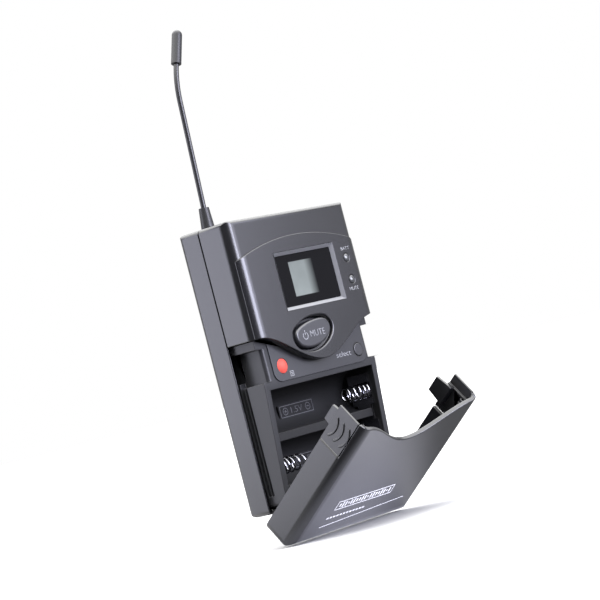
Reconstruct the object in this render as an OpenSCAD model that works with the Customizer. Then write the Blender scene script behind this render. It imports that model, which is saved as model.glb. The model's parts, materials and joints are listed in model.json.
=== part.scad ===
// Wireless bodypack transmitter, worn on a belt, with its battery door open.
// Drawn in the case's own layout: X across, Y from front to back with the shell
// seam at 0, Z up from the case's underside. placed() then moves the origin to
// the belt clip's seat on the back of the case.

/* [Case] */
// Width of the case
case_w = 66; // [62:1:72]
// Height of the case without the antenna
case_h = 102.5; // [100:0.5:108]
// Depth of the rear shell behind the seam
back_d = 10.2; // [9.8:0.2:11]
// Depth of the front shell ahead of the seam
front_d = 14; // [13.5:0.25:15]
// How far the shield stands out of the front shell
shield_raise = 1; // [0.6:0.1:1.5]
// Wall thickness of the shells
wall = 1.8; // [1.5:0.1:2]
// Radius of the upright front corners
corner_r = 4; // [3.2:0.2:4.2]

/* [Shield] */
// Height of the step where the door's sides begin
step_z = 60.2; // [60:0.1:61]
// How far the wavy lower edge dips in the middle
wave_drop = 11.8; // [10:0.2:12.4]
// Height of the arched upper edge at the sides
arc_side_z = 88; // [87:0.5:90]
// Rise of the arched upper edge in the middle
arc_rise = 5.9; // [5:0.1:7]

/* [Display] */
// Left edge of the window
window_x0 = -12.8; // [-14:0.1:-12]
// Right edge of the window
window_x1 = 17.6; // [16:0.1:18]
// Lower edge of the window
window_z0 = 68.6; // [68:0.1:70]
// Upper edge of the window
window_z1 = 87.2; // [85:0.1:87.5]

/* [Battery door] */
// Opening angle of the door as drawn
door_angle = 54; // [10:1:78]
// Thickness of the door's skin
door_wall = 1.7; // [1.5:0.1:1.9]
// Height of the finger latches
latch_h = 15.2; // [14:0.2:15.6]

/* [Battery bay] */
// Radius of each cell's trough
trough_r = 7.6; // [7.5:0.05:7.7]
// Height of the upper cell's centre
cell_hi_z = 34.4; // [34.2:0.1:34.8]
// Height of the lower cell's centre
cell_lo_z = 16.2; // [16:0.1:16.6]

/* [Antenna] */
// Lean of the antenna to the right
antenna_lean = 2.9; // [0:0.1:8]
// Further bend near its tip
antenna_bend = 19; // [5:1:30]
// Length of the straight wire above the case
whip_len = 46.5; // [30:0.5:60]

/* [Hidden] */
$fn = 64;
e = 0.01;
mount_z = 50;
hw = case_w / 2;
iw = hw - wall;
seam_gap = 0.2;
shield_d = front_d + shield_raise;
chassis_x = 31;
panel_y = -10.9;
bay_x = 28.4;
cell_y = -1.6;
bay_top = cell_hi_z + trough_r;
door_front = front_d + 0.2;
door_back = 1.2;
door_top = step_z - 0.3;
door_bottom_r = 7;
pivot_y = 5.6;
pivot_z = 3.8;
ear_x = 24;
ear_t = 2;
latch_z0 = door_top - latch_h;
latch_pin_x = 30.2;
latch_pin_y = -10.2;
knuckle_z0 = 47;
knuckle_z1 = 54.6;
arc_half = hw;
arc_r = (arc_half * arc_half + arc_rise * arc_rise) / (2 * arc_rise);
arc_cz = arc_side_z + arc_rise - arc_r;
ant_x = -26;
ant_y = 0.9;
jack_x = 21;
jack_y = -6;
set_x = 22.3;
set_z = 48.6;
ir_x = -19.8;
ir_z = 49.3;
led_x = 24.7;
led_hi_z = 82;
led_lo_z = 73.9;
screw_z = 90;
recess_y = -13.4;

// Lower edge of the shield at distance x from the middle
function wave_z(x) = step_z - wave_drop * 0.5 * (1 + cos(180 * min(abs(x), 32) / 32));
// Upper edge of the shield at distance x from the middle
function arc_z(x) = arc_cz + sqrt(arc_r * arc_r - x * x);

// The mute button's outline is an egg with its thin end up to the right
btn_c = [-3.4, 58.1];
btn_ctrl = [[-9.6, 0.4], [-8.6, 2.0], [-5.6, 3.3], [-1.6, 4.3], [3.0, 4.8], [6.7, 4.6],
  [8.9, 3.2], [9.6, 1.0], [8.6, -1.2], [6.0, -3.1], [2.4, -4.4], [-1.4, -5.0],
  [-5.0, -4.8], [-8.0, -3.6], [-9.5, -1.6]];
function cr(a, b, c, d, t) = 0.5 * (2 * b + (c - a) * t + (2 * a - 5 * b + 4 * c - d) * t * t
  + (3 * b - a - 3 * c + d) * t * t * t);
btn_n = len(btn_ctrl);
btn_curve = [for (i = [0:btn_n - 1]) for (t = [0, 1 / 3, 2 / 3])
  cr(btn_ctrl[(i + btn_n - 1) % btn_n], btn_ctrl[i], btn_ctrl[(i + 1) % btn_n],
    btn_ctrl[(i + 2) % btn_n], t)];
function grown(p, d) = p * (1 + d / norm(p));

// ---------- layout helpers ----------

module placed() {
  translate([0, -back_d, -mount_z]) children();
}

// Extrudes an X-Z outline from y0 back to y1
module face_extrude(y0, y1) {
  translate([0, y1, 0]) rotate([90, 0, 0]) linear_extrude(y1 - y0) children();
}

// Extrudes a Y-Z outline from x0 to x1
module side_extrude(x0, x1) {
  translate([x0, 0, 0]) rotate([90, 0, 90]) linear_extrude(x1 - x0) children();
}

module cyl_y(r, x, z, y0, y1) {
  translate([x, y1, z]) rotate([90, 0, 0]) cylinder(h = y1 - y0, r = r);
}

module cyl_x(r, y, z, x0, x1) {
  translate([x0, y, z]) rotate([0, 90, 0]) cylinder(h = x1 - x0, r = r);
}

module box(x0, x1, y0, y1, z0, z1) {
  translate([x0, y0, z0]) cube([x1 - x0, y1 - y0, z1 - z0]);
}

// Rectangle with a separate radius on each corner, anticlockwise from lower left
module corner_rect(x0, y0, x1, y1, a, b, c, d) {
  difference() {
    translate([x0, y0]) square([x1 - x0, y1 - y0]);
    corner_cut(x0, y0, 1, 1, a);
    corner_cut(x1, y0, -1, 1, b);
    corner_cut(x1, y1, -1, -1, c);
    corner_cut(x0, y1, 1, -1, d);
  }
}

module corner_cut(x, y, sx, sy, r) {
  if (r > 0)
    translate([x, y]) scale([sx, sy]) difference() {
      translate([-1, -1]) square([r + 1, r + 1]);
      translate([r, r]) circle(r);
    }
}

// Sector of a ring in the Y-Z plane, between two angles from +Y
module ring_sector(r0, r1, a0, a1) {
  intersection() {
    difference() {
      circle(r1);
      circle(r0);
    }
    polygon([[0, 0], for (k = [0:4]) 2 * r1 * [cos(a0 + (a1 - a0) * k / 4), sin(a0 + (a1 - a0) * k / 4)]]);
  }
}

module mute_outline(d) {
  translate(btn_c) polygon([for (p = btn_curve) grown(p, d)]);
}

module at_sides() {
  for (s = [-1, 1]) scale([s, 1, 1]) children();
}

// ---------- case ----------

module front_plan(d, r) {
  corner_rect(-hw, -d, hw, 0, r, r, 0, 0);
}

module shell_face() {
  corner_rect(-hw, 0, hw, case_h, 1.6, 1.6, 1.6, 1.6);
}

module rear_shell() {
  color("#5c5d62") placed() difference() {
    intersection() {
      linear_extrude(case_h) corner_rect(-hw, 0, hw, back_d, 0, 0, 2.6, 2.6);
      side_extrude(-hw, hw) corner_rect(0, 0, back_d, case_h, 0, 3.6, 2.2, 0);
      face_extrude(-e, back_d + e) shell_face();
    }
    box(-iw, iw, -1, back_d - wall, wall, case_h - wall);
    difference() {
      box(-iw - 1.1, iw + 1.1, -1, 1.4, -1, step_z);
      box(-iw, iw, -2, 2, -2, wall);
    }
    translate([ant_x, ant_y, case_h - 4]) cylinder(h = 8, r = 2.65);
    ear_slots();
    at_sides() {
      cyl_y(1.3, 27.6, screw_z, 5, back_d + 3);
      cyl_y(2.2, 27.6, screw_z, back_d - 1.5, back_d + 3);
      cyl_y(1.3, 16, 5, 5, back_d + 3);
      cyl_y(2.2, 16, 5, back_d - 1.5, back_d + 3);
    }
    for (z = [72, 82]) cyl_y(1.25, 0, z, 5, back_d + 3);
  }
}

// The slots that the door's hinge ears swing through
module ear_slots() {
  at_sides() box(ear_x - 0.4, ear_x + ear_t + 0.4, -12, 8.5, -1, 6.6);
}

module front_shell() {
  color("#4b4c53") placed() difference() {
    intersection() {
      translate([0, 0, step_z]) linear_extrude(case_h - step_z) front_plan(front_d, corner_r);
      side_extrude(-hw, hw) corner_rect(-front_d, 0, -seam_gap, case_h, 0, 0, 0, 1.6);
      face_extrude(-front_d - e, e) shell_face();
    }
    translate([0, 0, step_z + wall]) linear_extrude(case_h - step_z - 2 * wall)
      corner_rect(-iw, -front_d + wall, iw, 1, corner_r - wall, corner_r - wall, 0, 0);
    box(-27.2, 27.2, -11, 1, step_z - 1, step_z + 3);
    box(-17, 11, -front_d + wall, 1, step_z - 1, step_z + 3);
    translate([ant_x, ant_y, case_h - 4]) cylinder(h = 8, r = 2.65);
    translate([jack_x, jack_y, case_h - 4]) cylinder(h = 8, r = 3.3);
    face_extrude(-front_d - 1, -9)
      corner_rect(window_x0, window_z0, window_x1, window_z1, 0.8, 0.8, 0.8, 0.8);
    face_extrude(-front_d - 1, -12) mute_outline(0.9);
    face_extrude(-front_d - 1, recess_y) mute_outline(1.4);
    cyl_y(1.6, led_x, led_hi_z, -front_d - 1, -9);
    cyl_y(1.6, led_x, led_lo_z, -front_d - 1, -9);
  }
  color("#4b4c53") placed() screw_bosses();
}

module screw_bosses() {
  at_sides() difference() {
    intersection() {
      cyl_y(2.6, 27.6, screw_z, -front_d + wall - 0.6, back_d - 2);
      box(20, iw + 0.1, -20, 20, 80, case_h - wall + 0.1);
    }
    cyl_y(1.1, 27.6, screw_z, -6, back_d - 1);
  }
}

// The raised shield: arched above, wavy below, with a thick lip over the panel
module shield() {
  color("#53545c") placed() difference() {
    intersection() {
      union() {
        difference() {
          translate([0, 0, step_z]) linear_extrude(40) front_plan(shield_d, corner_r + 0.9);
          translate([0, 0, step_z - 1]) linear_extrude(42) front_plan(front_d, corner_r);
        }
        intersection() {
          translate([0, 0, 40]) linear_extrude(step_z - 40) front_plan(shield_d, corner_r + 0.9);
          box(-hw, hw, -shield_d, panel_y - 0.5, 40, step_z);
        }
      }
      face_extrude(-shield_d - 1, 0) polygon(concat(
        [for (i = [-32:1:32]) [i, wave_z(i)]],
        [for (i = [32:-2:-32]) [i, arc_z(i)]]));
    }
    face_extrude(-shield_d - 1, -front_d + 1) mute_outline(0.35);
    face_extrude(-shield_d - 1, -11) mute_outline(0.35);
    face_extrude(-shield_d - 1, recess_y) mute_outline(1.4);
    face_extrude(-shield_d - 1, -9)
      corner_rect(window_x0, window_z0, window_x1, window_z1, 0.8, 0.8, 0.8, 0.8);
    window_bevel();
    cyl_y(1.6, led_x, led_hi_z, -shield_d - 1, -9);
    cyl_y(1.6, led_x, led_lo_z, -shield_d - 1, -9);
  }
}

// Sloping sides around the window, widening towards the front
module window_bevel() {
  y0 = -shield_d - 0.5;
  y1 = -front_d + 0.1;
  g = (y1 - y0) * 1.05;
  intersection() {
    side_extrude(window_x0 - 4, window_x1 + 4) polygon([[y0, window_z0 - g], [y1, window_z0],
      [y1, window_z1], [y0, window_z1 + g]]);
    translate([0, 0, window_z0 - 4]) linear_extrude(window_z1 - window_z0 + 8)
      polygon([[window_x0 - g, y0], [window_x0, y1], [window_x1, y1], [window_x1 + g, y0]]);
  }
}

// ---------- battery tray ----------

// Pocket beside the tray that takes a latch's knuckle and tongue
module latch_pocket() {
  box(28.2, 32, -13, 0.3, 44.9, 56.8);
  difference() {
    box(26.7, 28.3, -13, -9.4, 44.9, 56.8);
    translate([26.7, -9.4, 44]) cylinder(h = 14, r = 1.5);
  }
  box(27.5, 32, -0.2, 5.8, 46.6, 57.2);
}

module trough(z) {
  cyl_x(trough_r, cell_y, z, -bay_x, bay_x);
  box(-bay_x, bay_x, -20, cell_y, z - trough_r, z + trough_r);
}

module battery_tray() {
  color("#606167") placed() difference() {
    face_extrude(panel_y, back_d - 2)
      corner_rect(-chassis_x, 2.2, chassis_x, step_z - 0.05, 1.2, 1.2, 0, 0);
    side_extrude(-hw, hw) polygon([[-20, 0], [-7.3, 0], [-7.3, 2.2], [panel_y, 44], [panel_y - 9, 44]]);
    trough(cell_hi_z);
    trough(cell_lo_z);
    box(-bay_x, bay_x, -20, -6, cell_lo_z, cell_hi_z);
    box(-26.6, 26.6, -9.5, back_d, bay_top + 1.5, step_z + 1);
    box(27.9, bay_x + e, -6.1, 0.8, 22, 29);
    at_sides() {
      latch_pocket();
      box(29.6, 32, -2.3, -1.5, 6, 45);
      box(29.6, 32, -1, 0.3, 6, 45);
      cyl_y(1.1, 16, 5, -2, back_d);
    }
    ear_slots();
    cyl_x(1.02, pivot_y, pivot_z, -ear_x - 4.2, -ear_x + 2.2);
    cyl_x(1.02, pivot_y, pivot_z, ear_x - 2.2, ear_x + 4.2);
    face_extrude(-13, -9) mute_outline(1.5);
    cyl_y(2.5, set_x, set_z, -13, -9);
    cyl_y(2.7, ir_x, ir_z, -13, -9);
  }
}

// Thin plate over the tray's upper wall, around the infrared window and button
module control_panel() {
  color("#6a6b73") placed() difference() {
    face_extrude(panel_y - 0.4, panel_y)
      corner_rect(-25, 44, 26.2, step_z - 1, 3.5, 3.5, 1, 1);
    face_extrude(-13, -9) mute_outline(1.5);
    cyl_y(2.5, set_x, set_z, -13, -9);
    cyl_y(2.7, ir_x, ir_z, -13, -9);
  }
}

module trough_plate(z) {
  intersection() {
    cyl_x(trough_r - e, cell_y, z, -9.6, 9.6);
    box(-9.6, 9.6, 5.1, 7, z - 3.5, z + 1.5);
  }
}

module polarity_plates() {
  color("#77787d") placed() {
    trough_plate(cell_hi_z);
    trough_plate(cell_lo_z);
  }
}

// Round wire coil along X, with its first turn closed up against the wall
module coil(x0, x1, y, z, r, wire, turns, tilt) {
  steps = round(turns * 18);
  m = 8;
  dir = x1 > x0 ? 1 : -1;
  len_x = abs(x1 - x0);
  pts = [for (i = [0:steps], j = [0:m - 1])
    let (a = 360 * turns * i / steps, b = 360 * j / m, f = i / steps,
      rr = r * (1.05 - 0.1 * f) + wire * cos(b))
    [dir * (len_x * pow(f, 1.3) + wire * sin(b)), rr * cos(a), rr * sin(a)]];
  faces = concat(
    [[for (j = [0:m - 1]) j]],
    [[for (j = [m - 1:-1:0]) steps * m + j]],
    [for (i = [0:steps - 1], j = [0:m - 1])
      [i * m + j, (i + 1) * m + j, (i + 1) * m + (j + 1) % m, i * m + (j + 1) % m]]);
  translate([x0, y, z]) rotate([0, 0, tilt]) polyhedron(pts, dir > 0 ? faces : [for (f = faces)
    [for (k = [len(f) - 1:-1:0]) f[k]]], convexity = 6);
}

module spring_upper() {
  color("#c9cacf") placed() coil(27.6, 15.6, -4.8, cell_hi_z - 1.1, 2.7, 0.34, 4.6, 0);
}

module spring_lower() {
  color("#c9cacf") placed() coil(-27.6, -15.6, -4.6, cell_lo_z - 0.9, 2.7, 0.34, 4.6, 0);
}

module bridge_contact() {
  color("#b9babf") placed() {
    box(27.95, bay_x - e, -7.4, 2.4, 11.5, 22.6);
    box(27.95, bay_x - e, -5.6, 0.6, 22.6, 28.2);
    box(27.95, bay_x - e, -7.4, 2.4, 28.2, 39.6);
    cyl_x(2.3, cell_y, cell_lo_z, 27.1, 28);
  }
}

module left_contacts() {
  color("#b9babf") placed() {
    box(-bay_x + e, -27.95, -6.4, 2.4, 29.6, 39.2);
    cyl_x(2.3, cell_y, cell_hi_z, -28, -27.1);
    box(-bay_x + e, -27.95, -7.4, 2.4, 11.5, 21.2);
  }
}

// ---------- battery door and latches ----------

// Turns a closed-door drawing out to the angle at which the door stands
module opened() {
  translate([0, pivot_y, pivot_z]) rotate([door_angle, 0, 0]) translate([0, -pivot_y, -pivot_z])
    children();
}

module door_solid(inset, back) {
  x = hw - inset;
  f = door_front - inset;
  intersection() {
    linear_extrude(door_top + inset) corner_rect(-x, -f, x, -door_back + back,
      corner_r - inset, corner_r - inset, 0, 0);
    side_extrude(-hw, hw) corner_rect(-f, inset, -door_back + back, door_top + inset,
      door_bottom_r - inset, back > 0 ? 0 : 1.2, 0, 0);
    face_extrude(-door_front - 1, 2) corner_rect(-x, inset, x, door_top + inset,
      3.2 - inset, 3.2 - inset, 0, 0);
  }
}

module battery_door() {
  color("#4d4e55") placed() opened() {
    difference() {
      door_solid(0, 0);
      door_solid(door_wall, 4);
      face_extrude(-door_front - 1, -door_front + door_wall + 1.3) polygon(concat(
        [for (i = [-31.2:1.2:31.2]) [i, wave_z(i) - 0.35]], [[32, 80], [-32, 80]]));
      at_sides() box(iw - 1, hw + 1, -11, 0, latch_z0 - 0.45, door_top + 1);
      at_sides() box(iw - 1, iw + 0.1, -12.4, -11, knuckle_z0 - 1.7, knuckle_z1 + 1.7);
    }
    at_sides() {
      hinge_ear();
      latch_lug(knuckle_z0 - 1.5, knuckle_z0 - 0.2);
      latch_lug(knuckle_z1 + 0.2, knuckle_z1 + 1.5);
    }
  }
}

// Arm from the door's underside to its pivot in the case
module hinge_ear() {
  difference() {
    union() {
      cyl_x(2.4, pivot_y, pivot_z, ear_x, ear_x + ear_t);
      side_extrude(ear_x, ear_x + ear_t)
        polygon([[-4.6, 1.2], [pivot_y, 1.4], [pivot_y, 6.2], [1.2, 4.4], [-4.6, 3.4]]);
    }
    cyl_x(1.06, pivot_y, pivot_z, ear_x - 1, ear_x + ear_t + 1);
  }
}

module latch_lug(z0, z1) {
  difference() {
    union() {
      translate([latch_pin_x, latch_pin_y, z0]) cylinder(h = z1 - z0, r = 1.05);
      box(latch_pin_x - 1.05, iw - 0.1, -door_front + door_wall - 0.2, latch_pin_y, z0, z1);
    }
    translate([latch_pin_x, latch_pin_y, z0 - 1]) cylinder(h = z1 - z0 + 2, r = 0.55);
  }
}

// Finger tab with three curved grips, a knuckle at the front and a tongue behind
module latch() {
  difference() {
    union() {
      box(iw + 0.1, hw, -10.9, -door_back, knuckle_z0 + 0.2, knuckle_z1 + 1.4);
      box(hw - 0.95, hw, -10.9, -door_back, latch_z0, door_top);
      side_extrude(28.9, 30.1)
        polygon([[-4.4, 48.6], [-2.9, 48.6], [2.8, 49.3], [2.8, 55.7], [-2.9, 56.4], [-4.4, 56.4]]);
      box(28.9, iw + 0.3, -4.4, -2.9, 48.6, 56);
      translate([latch_pin_x, latch_pin_y, knuckle_z0]) cylinder(h = knuckle_z1 - knuckle_z0, r = 1.05);
      box(latch_pin_x, iw + 0.3, -10.6, -9.4, knuckle_z0, knuckle_z1);
    }
    translate([latch_pin_x, latch_pin_y, 40]) cylinder(h = 20, r = 0.65);
  }
  for (y = [-3.2, -6.1, -9.1]) grip_rib(y);
}

// One raised, bowed grip rib on the tab's outer face
module grip_rib(y) {
  translate([0, y + 4.2, 51.7]) intersection() {
    box(hw - 0.05, hw + 0.4, -7, -4, -4.2, 4.2);
    difference() {
      cyl_x(6, 0, 0, hw - 0.1, hw + 0.4);
      cyl_x(5.35, 0, 0, hw - 0.2, hw + 0.5);
    }
  }
}

module latch_left() {
  color("#66676c") placed() opened() scale([-1, 1, 1]) latch();
}

module latch_right() {
  color("#66676c") placed() opened() latch();
}

module latch_pins() {
  color("#a8a9ad") placed() opened() at_sides()
    translate([latch_pin_x, latch_pin_y, knuckle_z0 - 1.5])
      cylinder(h = knuckle_z1 - knuckle_z0 + 3, r = 0.55);
}

module hinge_pins() {
  color("#a8a9ad") placed() {
    cyl_x(1, pivot_y, pivot_z, ear_x - 2, ear_x + 4);
    cyl_x(1, pivot_y, pivot_z, -ear_x - 4, -ear_x + 2);
  }
}

// ---------- display, buttons and lamps ----------

module window_lens() {
  color("#101114") placed() face_extrude(-front_d + 0.1, -front_d + 1.3) corner_rect(window_x0 + 0.05,
    window_z0 + 0.05, window_x1 - 0.05, window_z1 - 0.05, 0.75, 0.75, 0.75, 0.75);
}

module lcd_panel() {
  color("#8f9792") placed() box(window_x0 - 0.6, window_x1 + 0.6, -12.1, -10.4,
    window_z0 - 0.6, window_z1 + 0.6);
}

module lcd_frame() {
  color("#2c2d30") placed() difference() {
    box(window_x0 - 1.8, window_x1 + 1.8, -11.8, -6, window_z0 - 1.8, window_z1 + 1.8);
    box(window_x0 - 0.7, window_x1 + 0.7, -13, -10.3, window_z0 - 0.7, window_z1 + 0.7);
  }
}

module mute_button() {
  color("#64656c") placed() {
    face_extrude(-shield_d - 0.3, -11) mute_outline(0);
    face_extrude(-11, -10.2) mute_outline(0.9);
    cyl_y(1.6, btn_c[0], btn_c[1], -10.3, -8.3);
  }
}

module set_button() {
  color("#6f7077") placed() {
    cyl_y(2.35, set_x, set_z, -11.6, -9.3);
    cyl_y(3.1, set_x, set_z, -9.35, -8.7);
    cyl_y(1.2, set_x, set_z, -8.8, -8.3);
  }
}

module ir_window() {
  color("#e0483f") placed() {
    cyl_y(2.6, ir_x, ir_z, -11.2, -8);
    intersection() {
      translate([ir_x, -8.2, ir_z]) sphere(r = 3.968);
      cyl_y(2.6, ir_x, ir_z, -13, -11.1);
    }
  }
}

module lamp(z) {
  cyl_y(1.45, led_x, z, -shield_d + 0.1, -10);
  intersection() {
    translate([led_x, -13.3, z]) sphere(r = 2.16);
    cyl_y(1.45, led_x, z, -17, -14.5);
  }
  cyl_y(1.7, led_x, z, -12.1, -9.6);
}

module battery_led() {
  color("#d9dad8") placed() lamp(led_hi_z);
}

module mute_led() {
  color("#d9dad8") placed() lamp(led_lo_z);
}

// ---------- electronics ----------

module main_board() {
  color("#1f4a33") placed() difference() {
    union() {
      box(-26, 26, -3.6, -2, 45, 62);
      box(-30, 30, -3.6, -2, 62, 86);
      box(-22, 17, -3.6, -2, 86, 99.5);
    }
    at_sides() cyl_y(1.1, 24, 66, -5, 0);
  }
}

module shield_can() {
  color("#aeb0b3") placed() difference() {
    box(-19, 15, -2, 2.2, 66, 96);
    box(-18.6, 14.6, -3, 1.8, 66.4, 95.6);
  }
}

module tact_switches() {
  color("#26272a") placed() {
    for (p = [btn_c, [set_x, set_z]]) {
      box(p[0] - 2.9, p[0] + 2.9, -6.8, -3.6, p[1] - 2.9, p[1] + 2.9);
      cyl_y(1.5, p[0], p[1], -7.7, -6.7);
    }
  }
}

module battery_lead() {
  color("#9a2a26") placed() {
    cyl_y(0.6, -24, 58, -1.99, 5.2);
    translate([-24, 5.2, 44.2]) cylinder(h = 14.4, r = 0.6);
  }
}

// ---------- top connections ----------

module antenna_base() {
  color("#3a3b3e") placed() translate([ant_x, ant_y, 0]) {
    translate([0, 0, case_h - 4.6]) cylinder(h = 4.5, r = 2.55);
    translate([0, 0, case_h - 5.8]) cylinder(h = 2.5, r = 3.9);
  }
}

// Everything above the case follows the antenna's lean
module leaning() {
  translate([ant_x, ant_y, case_h]) rotate([0, antenna_lean, 0]) children();
}

module antenna_boot() {
  color("#3e3f43") placed() difference() {
    leaning() {
      translate([0, 0, -0.1]) cylinder(h = 7.7, r1 = 2.45, r2 = 1.85);
    }
    box(ant_x - 5, ant_x + 5, -5, 5, case_h - 2, case_h - 0.05);
    leaning() translate([0, 0, 2]) cylinder(h = 8, r = 0.96);
  }
}

bend_r = 42;

module antenna_wire() {
  color("#3a3b40") placed() leaning() {
    translate([0, 0, 2]) cylinder(h = whip_len - 2, r = 0.95);
    translate([bend_r, 0, whip_len]) rotate([90, 0, 180]) rotate_extrude(angle = antenna_bend)
      translate([bend_r, 0]) circle(r = 0.95, $fn = 32);
  }
}

module antenna_tip() {
  color("#38393d") placed() leaning() translate([bend_r, 0, whip_len])
    rotate([0, antenna_bend, 0]) translate([-bend_r, 0, 0]) {
      cylinder(h = 11.2, r = 1.85);
      translate([0, 0, 11.2]) intersection() {
        sphere(r = 1.85);
        cylinder(h = 3, r = 2);
      }
    }
}

module jack_barrel() {
  color("#8e9094") placed() translate([jack_x, jack_y, 0]) difference() {
    union() {
      translate([0, 0, 94]) cylinder(h = case_h - 0.3 - 94, r = 3.2);
      translate([0, 0, 97.6]) cylinder(h = 2.4, r = 4.6);
    }
    translate([0, 0, 91]) cylinder(h = 14, r = 1.8);
    translate([0, 0, case_h - 0.8]) cylinder(h = 2, r = 2.4);
  }
}

module jack_body() {
  color("#222326") placed() difference() {
    box(jack_x - 3.3, jack_x + 3.3, jack_y - 3.4, -3.7, 89.2, 94);
    translate([jack_x, jack_y, 90.4]) cylinder(h = 8, r = 1.5);
  }
}

// ---------- belt clip and screws ----------

// Spring strip: seat on the case, a bend over the top, a tongue down the outside
module belt_clip() {
  color("#303135") placed() difference() {
    side_extrude(-9, 9) {
      translate([back_d, 66]) square([1, 24]);
      translate([back_d + 2.8, 90]) ring_sector(1.8, 2.8, 0, 180);
      translate([back_d + 4.6, 38]) square([1, 52]);
      translate([back_d + 9.6, 38]) ring_sector(4, 5, 180, 225);
    }
    for (z = [72, 82]) cyl_y(1.25, 0, z, 8, back_d + 2);
    for (z = [72, 82]) cyl_y(2.6, 0, z, back_d + 3, back_d + 8);
  }
}

module clip_screws() {
  color("#9b9ca0") placed() for (z = [72, 82]) {
    cyl_y(1.15, 0, z, back_d - 3.6, back_d + 1.1);
    difference() {
      cyl_y(2.1, 0, z, back_d + 1, back_d + 2.1);
      box(-1.5, 1.5, back_d + 1.6, back_d + 3, z - 0.25, z + 0.25);
      box(-0.25, 0.25, back_d + 1.6, back_d + 3, z - 1.5, z + 1.5);
    }
  }
}

module case_screw(x, z) {
  cyl_y(1.05, x, z, -1, back_d - 1.4);
  difference() {
    cyl_y(2.05, x, z, back_d - 1.5, back_d - 0.2);
    box(x - 1.4, x + 1.4, back_d - 0.8, back_d + 1, z - 0.25, z + 0.25);
    box(x - 0.25, x + 0.25, back_d - 0.8, back_d + 1, z - 1.4, z + 1.4);
  }
}

module case_screws() {
  color("#9b9ca0") placed() {
    case_screw(-27.6, screw_z);
    case_screw(27.6, screw_z);
    case_screw(-16, 5);
    case_screw(16, 5);
  }
}

rear_shell();
front_shell();
shield();
battery_tray();
control_panel();
battery_door();
latch_left();
latch_right();
latch_pins();
hinge_pins();
window_lens();
lcd_panel();
lcd_frame();
mute_button();
set_button();
ir_window();
battery_led();
mute_led();
main_board();
shield_can();
tact_switches();
spring_upper();
spring_lower();
bridge_contact();
left_contacts();
polarity_plates();
antenna_base();
antenna_boot();
antenna_wire();
antenna_tip();
jack_barrel();
jack_body();
belt_clip();
clip_screws();
case_screws();
battery_lead();
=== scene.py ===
"""Looks of the wireless bodypack transmitter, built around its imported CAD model.

Every piece is in metres in the row frame: X across the case, Y from front to
back, Z up. The origin is on the back of the case, under the belt clip.
"""

from __future__ import annotations

import json
import logging
import math
from dataclasses import dataclass, field
from enum import Enum
from typing import Callable, Iterable, Optional, Sequence

import bmesh
import bpy
from mathutils import Matrix, Vector

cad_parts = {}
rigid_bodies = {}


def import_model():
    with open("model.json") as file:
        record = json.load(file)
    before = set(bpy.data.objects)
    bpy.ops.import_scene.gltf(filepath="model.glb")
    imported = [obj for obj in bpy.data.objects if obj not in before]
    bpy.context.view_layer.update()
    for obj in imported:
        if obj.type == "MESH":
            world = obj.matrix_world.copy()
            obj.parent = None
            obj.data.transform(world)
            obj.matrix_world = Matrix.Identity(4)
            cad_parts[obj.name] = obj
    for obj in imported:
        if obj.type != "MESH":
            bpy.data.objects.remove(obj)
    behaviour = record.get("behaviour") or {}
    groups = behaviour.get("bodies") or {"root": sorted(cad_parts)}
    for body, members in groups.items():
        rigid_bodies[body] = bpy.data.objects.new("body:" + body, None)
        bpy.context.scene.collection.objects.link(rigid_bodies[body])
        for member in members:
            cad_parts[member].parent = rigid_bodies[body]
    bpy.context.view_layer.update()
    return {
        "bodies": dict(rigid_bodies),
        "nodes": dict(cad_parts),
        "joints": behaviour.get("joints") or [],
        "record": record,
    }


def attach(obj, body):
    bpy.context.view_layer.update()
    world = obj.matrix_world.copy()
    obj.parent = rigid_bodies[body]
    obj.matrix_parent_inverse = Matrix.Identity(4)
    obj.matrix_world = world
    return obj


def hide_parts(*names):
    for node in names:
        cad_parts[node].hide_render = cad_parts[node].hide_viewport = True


LOG = logging.getLogger("bodypack")
MM = 0.001
SEAM_Y = -10.2 * MM
FOOT_Z = -50.0 * MM


def at(x: float, y: float, z: float) -> Vector:
    """A point given in millimetres from the seam at the case's foot.

    Args:
        x: Distance to the right of the middle.
        y: Distance behind the seam of the two shells.
        z: Height above the underside of the case.

    Returns:
        The same point in the row frame, in metres.
    """
    return Vector((x * MM, y * MM + SEAM_Y, z * MM + FOOT_Z))


# ---------------------------------------------------------------- shader tools


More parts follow.
